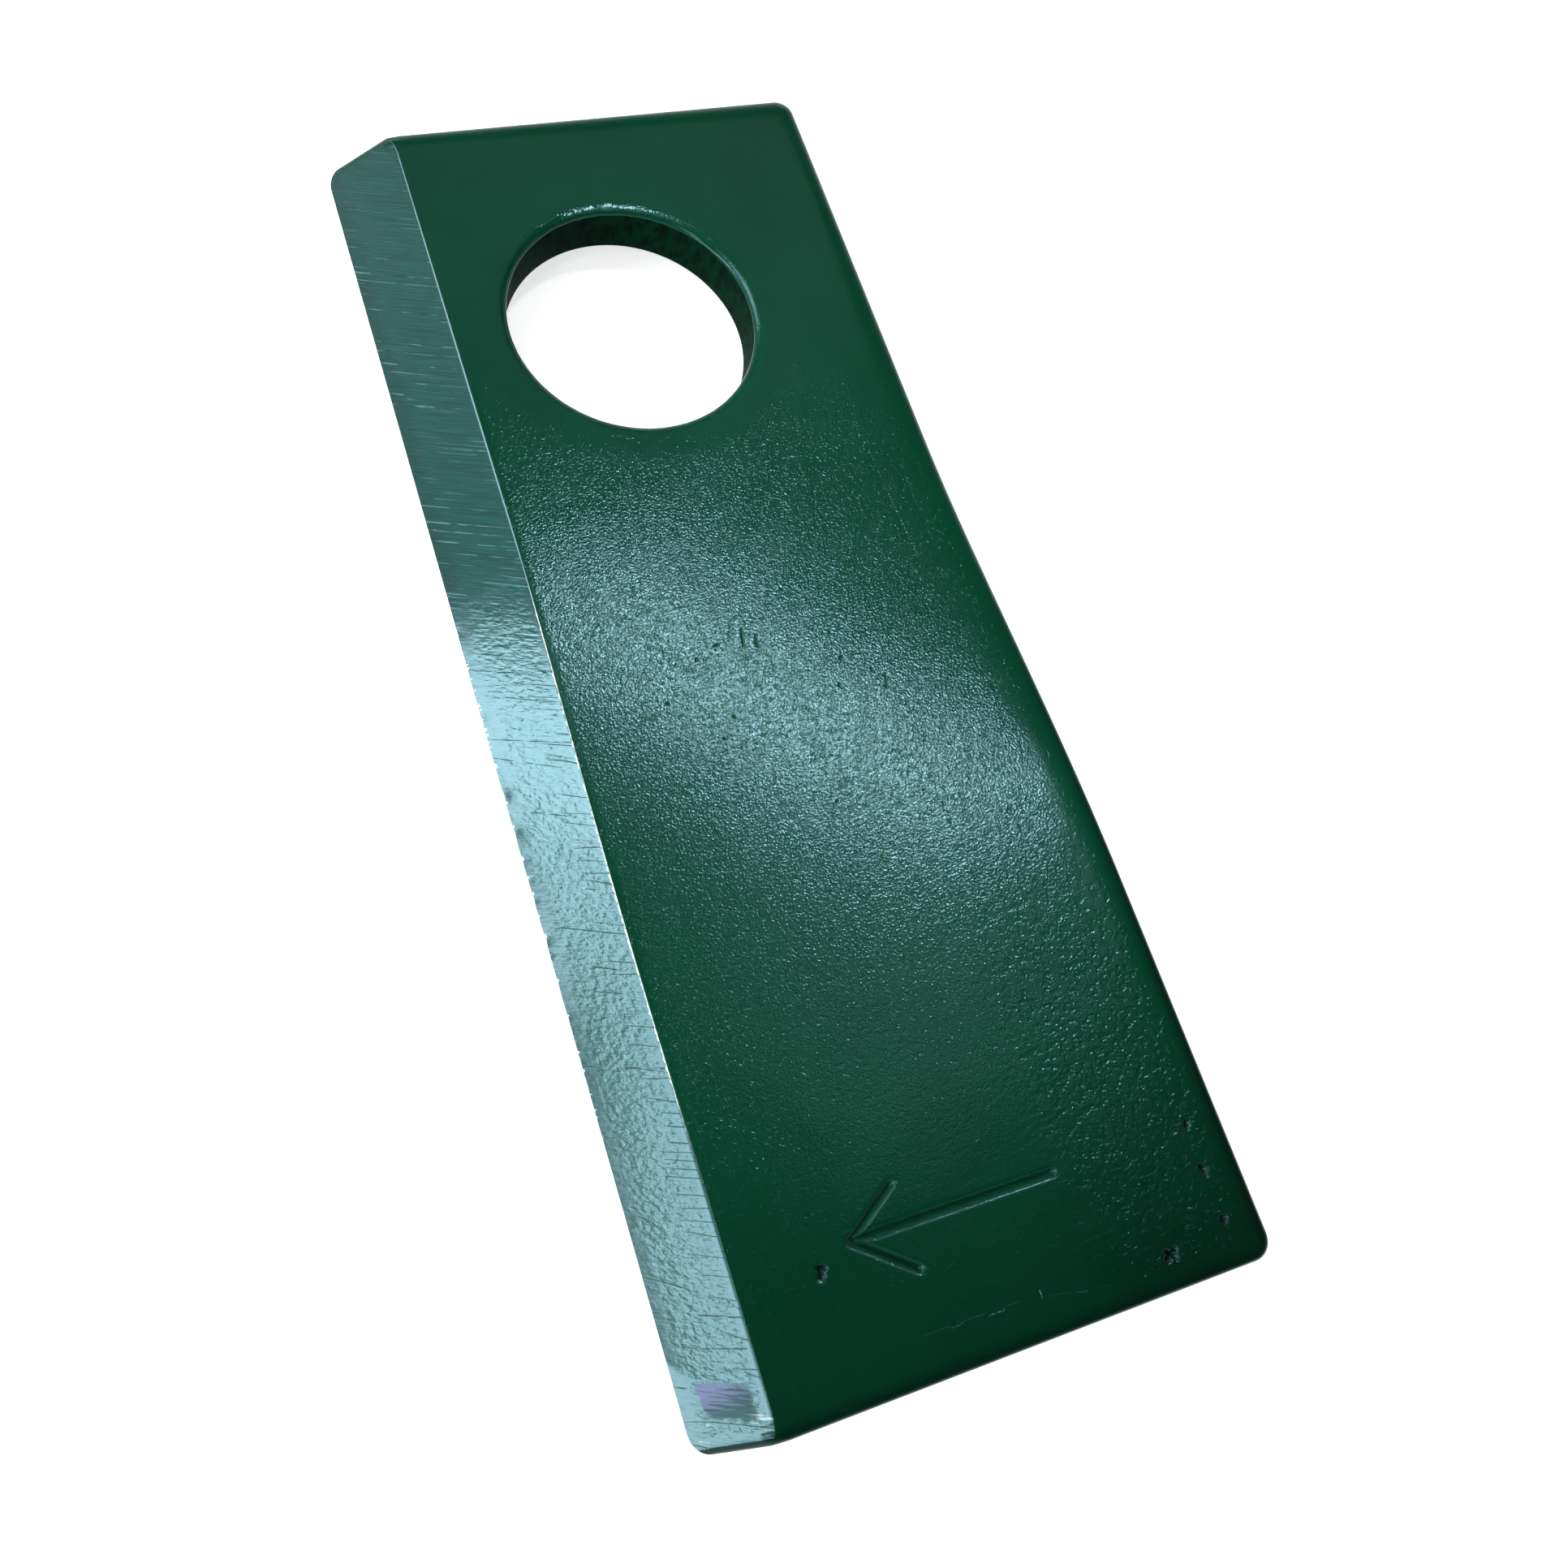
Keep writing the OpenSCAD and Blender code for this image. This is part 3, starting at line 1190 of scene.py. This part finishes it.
@dataclass(frozen=True)
class GroundBevel:
    """Ground steel under a thin green film: lined at the mount, wrinkled beyond, bare along its crest, with
    a painted highlight on the steel.

    A span says in millimetres where an effect starts and where it is complete.
    """

    film: Colour = (0.002, 0.068, 0.045)
    thick_film: Colour = (0.001, 0.026, 0.014)
    line: Colour = (0.10, 0.28, 0.26)
    steel: Colour = (0.66, 0.72, 0.76)
    # Steel colour dimmed as painted shade outside the middle span.
    dull_steel: Colour = (0.16, 0.19, 0.24)
    slate: Colour = (0.02, 0.035, 0.05)
    lilac: Colour = (0.16, 0.17, 0.34)
    fleck: Colour = (0.45, 0.55, 0.60)
    gloss_tint: Colour = (0.49, 0.84, 1.0)
    film_index: float = 1.8
    roughness: float = 0.17
    lean: float = 0.70
    lean_change: float = 6.2
    bow: float = 18.0
    fine_height: float = 0.005 * MM
    wrinkle_height: float = 0.036 * MM
    far_wrinkle: float = 0.034 * MM
    cut_depth: float = 0.018 * MM
    bare_width: float = 0.10 * MM
    patch_ragged: float = 0.9 * MM
    fray_gap: float = 0.35 * MM
    fray_ragged: float = 0.6 * MM
    fine_layer: Layer = Layer(0.03, 0.11 * MM, 0.0)
    wrinkle_layer: Layer = Layer(0.8, 0.40 * MM, 5.0)
    line_layer: Layer = Layer(0.012, 0.20 * MM, 9.0)
    dash_layer: Layer = Layer(0.6, 0.9 * MM, 11.0)
    gate_layer: Layer = Layer(0.8, 1.6 * MM, 12.0)
    long_cut: Layer = Layer(0.05, 2.0 * MM, 15.0, 0.0)
    short_cut: Layer = Layer(0.1, 1.0 * MM, 17.0, 0.0)
    bead_layer: Layer = Layer(1.0, 0.3 * MM, 21.0)
    chip_layer: Layer = Layer(0.0, 0.35 * MM, 23.0)
    streak_layer: Layer = Layer(0.1, 0.16 * MM, 31.0)
    wrinkled: Span = (-25.0, -17.0)
    far_end: Span = (-60.0, -34.0)
    bowed_end: Span = (-56.0, -40.0)
    calm_edge: Span = (0.4, 1.5)
    rough_crest: Span = (0.1, 0.6)
    short_cut_crest: Span = (0.8, 2.4)
    patch_across: Span = (-18.6, -15.6)
    patch_along: Span = (-80.0, -77.9)
    patch_top: Span = (-70.2, -67.2)
    fleck_end: Span = (-77.2, -75.8)
    frayed: Span = (-46.0, -27.0)
    fray_width: Span = (0.02, 0.06)
    # Span of real wear that also carries the painted highlight on the steel.
    bright_start: Span = (-62.0, -54.0)
    bright_end: Span = (-25.0, -19.0)
    bare_start: Span = (-66.0, -60.0)
    worn_edge: Span = (0.05, 0.14)

    def make(self) -> bpy.types.Material:
        """Makes the material of the bevel."""
        finish = Finish("ground_bevel")
        g = finish.graph
        across, along, _ = finish.flat()
        crest, edge = -finish.marked(Marked.CREST), finish.marked(Marked.EDGE)
        travel = along + (self.lean + self.lean_change * along) * across
        lower = along.fall_mm(*self.wrinkled)
        far = along.fall_mm(*self.far_end)
        calm = edge.rise_mm(*self.calm_edge)
        fine = self.fine_layer.read(across, travel)
        wrinkle = self.wrinkle_layer.read(across, travel * 1.1) - 0.5
        dash = self.dash_layer.read(across, travel).rise(0.45, 0.60)
        line = self.line_layer.read(across, travel).rise(0.56, 0.68) * dash * (1.0 - 0.8 * lower)
        gate = self.gate_layer.read(across, travel).rise(0.46, 0.60) * lower
        short = self.short_cut.crossing(across, travel, 0.016) * lower * crest.fall_mm(*self.short_cut_crest)
        cut = (self.long_cut.crossing(across, travel, 0.012) * gate).greater(short)
        rough = crest.rise_mm(*self.rough_crest) * (0.3 + 0.7 * calm) * (0.10 + 0.90 * lower)
        crumple = (self.wrinkle_height + self.far_wrinkle * far) * rough * wrinkle
        bowed = self.bow * along.fall_mm(*self.bowed_end)
        height = self.fine_height * fine + crumple - self.cut_depth * cut - 0.5 * bowed * crest * crest
        colour = g.blend(0.7 * (1.0 - fine.rise(0.35, 0.65)), self.film, self.thick_film)
        colour = g.blend(0.45 * (1.0 - calm), colour, self.thick_film)
        colour = g.blend(0.8 * cut, colour, self.thick_film)
        colour = g.blend(0.6 * line, colour, self.line)
        ragged = self.patch_ragged * wrinkle
        slanted = along + 0.2 * across + ragged
        reached = self.box(across + ragged, self.patch_across) * self.box(slanted, self.patch_along)
        streak = self.streak_layer.read(across, travel)
        upward = (along - 0.4 * across).rise_mm(*self.patch_top)
        wiped = g.blend((streak + 0.3 * (upward - 0.5)).rise(0.42, 0.60), self.slate, self.lilac)
        colour = g.blend(reached * (0.35 + 0.65 * upward), colour, wiped)
        flecks = streak.rise(0.58, 0.66) * along.fall_mm(*self.fleck_end) * dash
        colour = g.blend(flecks, colour, self.fleck)
        chip = self.chip_layer.read(across, along)
        fray = abs(edge - self.fray_gap - self.fray_ragged * (chip - 0.5)).fall_mm(*self.fray_width)
        colour = g.blend(0.35 * fray * dash * self.box(along, self.frayed), colour, self.thick_film)
        # Where the steel is bare and worn is real. Its bright colour over the middle is a painted highlight,
        # and the duller colour elsewhere is painted shade.
        worn_and_lit_span = along.rise_mm(*self.bright_start) * along.fall_mm(*self.bright_end)
        beads = 3.0 * self.bead_layer.read(across, along) - 0.5
        reach = self.bare_width * (0.35 + 0.65 * worn_and_lit_span) * beads.greater(0.1)
        bare = (1.0 - crest.rise(0.5 * reach, reach)) * along.rise_mm(*self.bare_start)
        worn = edge.fall_mm(*self.worn_edge) * chip.rise(0.57, 0.64) * worn_and_lit_span
        metal = bare.greater(worn)
        colour = g.blend(metal, colour, g.blend(worn_and_lit_span, self.dull_steel, self.steel))
        return finish.close(
            height,
            Base_Color=colour,
            Roughness=self.roughness + 0.07 * far + 0.15 * metal + 0.35 * reached + 0.2 * line,
            Metallic=metal,
            IOR=self.film_index,
            Specular_Tint=self.gloss_tint,
        )

    @staticmethod
    def box(value: Wire, span: Span, soft: float = 0.15) -> Wire:
        """1 within a span in millimetres and 0 elsewhere, with soft ends."""
        low, high = span
        return value.rise_mm(low - soft, low + soft) * value.fall_mm(high - soft, high + soft)


class MowerBlade:
    """The blade: its blank, its forming and its finishes."""

    NAME = "painted_blade"
    SHARP = math.radians(50)
    SPECK_SEED = 41
    SPECK_LENGTHS = (0.05, 0.25)

    def __init__(self, sizes: BladeSizes) -> None:
        """Keeps the sizes and gathers the marks."""
        self.sizes = sizes
        self.marks = (*ARROW, *PITS, *NICKS, *self.specks(), *SCRATCHES)

    def specks(self) -> list[Mark]:
        """Specks of missing paint as very short nicks, each turned its own way."""
        dice = random.Random(self.SPECK_SEED)
        marks = []
        for across, along in SPECKS:
            turn, length = dice.uniform(0.0, math.pi), dice.uniform(*self.SPECK_LENGTHS)
            end = (across + length * math.cos(turn), along + length * math.sin(turn))
            marks.append(Mark(MarkKind.NICK, (across, along), end))
        return marks

    def build(self) -> bpy.types.Object:
        """Forms and dresses the blade.

        Returns:
            The finished piece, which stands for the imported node.
        """
        finishes = {"Paint": GreenPaint(), "Bevel": GroundBevel(), "Wall": ShearedWall()}
        materials = {name: finish.make() for name, finish in finishes.items()}
        blank = BladeBlank(self.sizes, self.marks).build()
        mesh = BladeForming(self.sizes, self.marks, materials).form(blank)
        mesh.name = self.NAME
        mesh.shade_smooth()
        mesh.set_sharp_from_angle(angle=self.SHARP)
        piece = added(self.NAME, mesh)
        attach(piece, BODY)
        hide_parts(NODE)
        LOG.info("%s: %d faces", piece.name, len(mesh.polygons))
        return piece


@dataclass(frozen=True)
class SoftBox:
    """A rectangular lamp that faces a place along the blade, in degrees from +Y towards +X and in metres."""

    name: str
    azimuth: float
    elevation: float
    distance: float
    width: float
    height: float
    radiance: float
    faces: float = -0.03
    spread: float = 180.0

    def build(self) -> bpy.types.Object:
        """Makes the lamp, hidden from the camera, with the same radiance straight ahead for any spread."""
        turn, lift = math.radians(self.azimuth), math.radians(self.elevation)
        way = Vector((math.sin(turn) * math.cos(lift), math.cos(turn) * math.cos(lift), math.sin(lift)))
        half = math.radians(self.spread) / 2
        data = bpy.data.lights.new(self.name, "AREA")
        data.shape = "RECTANGLE"
        data.size, data.size_y = self.width, self.height
        data.spread = 2 * half
        data.energy = self.radiance * math.pi * self.width * self.height * (1 - half / math.tan(half))
        lamp = added(self.name, data)
        lamp.location = Vector((0.0, self.faces, 0.0)) + way * self.distance
        lamp.rotation_euler = way.to_track_quat("Z", "Y").to_euler()
        lamp.visible_camera = False
        return lamp


class Stage:
    """Pale floor under the resting blade, soft lamps and a plain sky that is white at the horizon."""

    FLOOR_SPAN = 6.0
    FLOOR_COLOUR: Colour = (0.9, 0.9, 0.9)
    FLOOR_WHITE = 0.7
    FLOOR_FADE = (0.15, 0.5)
    SKY_LOW = 1.0
    SKY_HIGH = 0.04
    SKY_FADE = (0.1, 0.5)
    SEEN_BY = ("Is Camera Ray", "Is Glossy Ray", "Is Transmission Ray")
    LAMPS = (
        SoftBox("overhead_lamp", 45.0, 70.0, 0.6, 0.09, 0.09, 75.0, -0.03, 13.0),
        SoftBox("overhead_halo", 70.0, 79.0, 0.6, 0.24, 0.24, 1.0),
        SoftBox("high_window", -82.4, 27.0, 0.6, 0.18, 0.16, 10.8),
        SoftBox("low_window", -104.0, 15.0, 0.6, 0.28, 0.14, 8.4),
        SoftBox("left_panel", -53.0, 25.0, 0.6, 0.31, 0.22, 0.58),
        SoftBox("far_panel", 24.0, 46.0, 0.7, 0.4, 0.25, 0.28),
        SoftBox("far_fill", -39.0, 50.0, 0.15, 0.11, 0.11, 9.0, -0.010, 44.0),
        SoftBox("near_glint", -118.0, 48.0, 0.6, 0.07, 0.5, 4.5, 0.0),
    )

    def __init__(self, sizes: BladeSizes) -> None:
        """Keeps the sizes of the blade that stands here."""
        self.sizes = sizes

    def build(self) -> None:
        """Makes the floor, the lamps and the sky."""
        self.floor()
        for lamp in self.LAMPS:
            lamp.build()
        self.sky()

    def floor(self) -> None:
        """Makes the floor, where the blade lies on its tip's lower edge and its mounting end's back edge."""
        s = self.sizes
        half = self.FLOOR_SPAN / 2
        back = s.mid_width + s.half_width
        corners = ((-half, -half), (half, -half), (half, half), (-half, half))
        points = [(x, y, (x - back) * s.rest_slope) for x, y in corners]
        mesh = bpy.data.meshes.new("floor")
        mesh.from_pydata(points, [], [(0, 1, 2, 3)])
        mesh.materials.append(self.floor_material())
        floor = added("floor", mesh)

    def floor_material(self) -> bpy.types.Material:
        """Matt white that keeps shadows, lifted to white for what sees it, and see-through from below."""
        finish = Finish("pale_floor")
        g = finish.graph
        matt = g.result("ShaderNodeBsdfDiffuse", {}, {"Color": self.FLOOR_COLOUR})
        rays = g.node("ShaderNodeLightPath")
        camera, glossy, through = (g.out(rays, name) for name in self.SEEN_BY)
        seen = (camera + glossy + through).lesser(1.0)
        x, y, _ = g.parts(finish.spot())
        white = g.between((x * x + y * y).root().rise(*self.FLOOR_FADE), self.FLOOR_WHITE, 1.0)
        glow = g.result("ShaderNodeEmission", {}, {"Strength": seen * white})
        sheet = g.result("ShaderNodeAddShader", {}, {0: matt, 1: glow})
        below = g.result("ShaderNodeNewGeometry", {}, {}, "Backfacing")
        clear = g.result("ShaderNodeBsdfTransparent")
        surface = g.result("ShaderNodeMixShader", {}, {0: below, 1: sheet, 2: clear})
        g.node("ShaderNodeOutputMaterial", {}, {"Surface": surface})
        return finish.material

    def sky(self) -> None:
        """Makes the sky, white at and below the horizon and dim overhead."""
        world = bpy.data.worlds.new("studio_sky")
        world.use_nodes = True
        world.node_tree.nodes.clear()
        g = Graph(world.node_tree)
        _, _, up = g.parts(g.result("ShaderNodeTexCoord", {}, {}, "Generated"))
        strength = g.between(up.rise(*self.SKY_FADE), self.SKY_LOW, self.SKY_HIGH)
        light = g.result("ShaderNodeBackground", {}, {"Color": (1.0, 1.0, 1.0), "Strength": strength})
        g.node("ShaderNodeOutputWorld", {}, {"Surface": light})
        bpy.context.scene.world = world


@dataclass(frozen=True)
class PhotoCamera:
    """The camera of the photograph, close above the cutting edge."""

    place: tuple[float, float, float] = (-30.5 * MM, -54.048 * MM, 80.569 * MM)
    aim: tuple[float, float, float] = (-6.602 * MM, -33.575 * MM, 0.0)
    upright: tuple[float, float, float] = (0.2323, 0.9240, 0.3037)
    lens: float = 27.05
    sensor: float = 36.0
    shift: Place = (0.0704, -0.0248)
    clip: Span = (2.0 * MM, 20.0)

    def build(self) -> bpy.types.Object:
        """Makes the camera and sets it as the scene's own."""
        data = bpy.data.cameras.new("photo_camera")
        data.lens = self.lens
        data.sensor_width = self.sensor
        data.shift_x, data.shift_y = self.shift
        data.clip_start, data.clip_end = self.clip
        look = (Vector(self.aim) - Vector(self.place)).normalized()
        right = look.cross(Vector(self.upright)).normalized()
        up = right.cross(look)
        turn = Matrix((right, up, -look)).transposed().to_4x4()
        camera = added("photo_camera", data)
        camera.matrix_world = Matrix.Translation(self.place) @ turn
        bpy.context.scene.camera = camera
        return camera


def main() -> None:
    """Builds the camera, the blade and the stage in order."""
    logging.basicConfig(level=logging.INFO, format="%(name)s: %(message)s")
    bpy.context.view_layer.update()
    sizes = BladeSizes.from_frame(frame)
    PhotoCamera().build()
    MowerBlade(sizes).build()
    Stage(sizes).build()
    bpy.context.scene.view_settings.view_transform = "Standard"


if __name__ == "__main__":
    main()
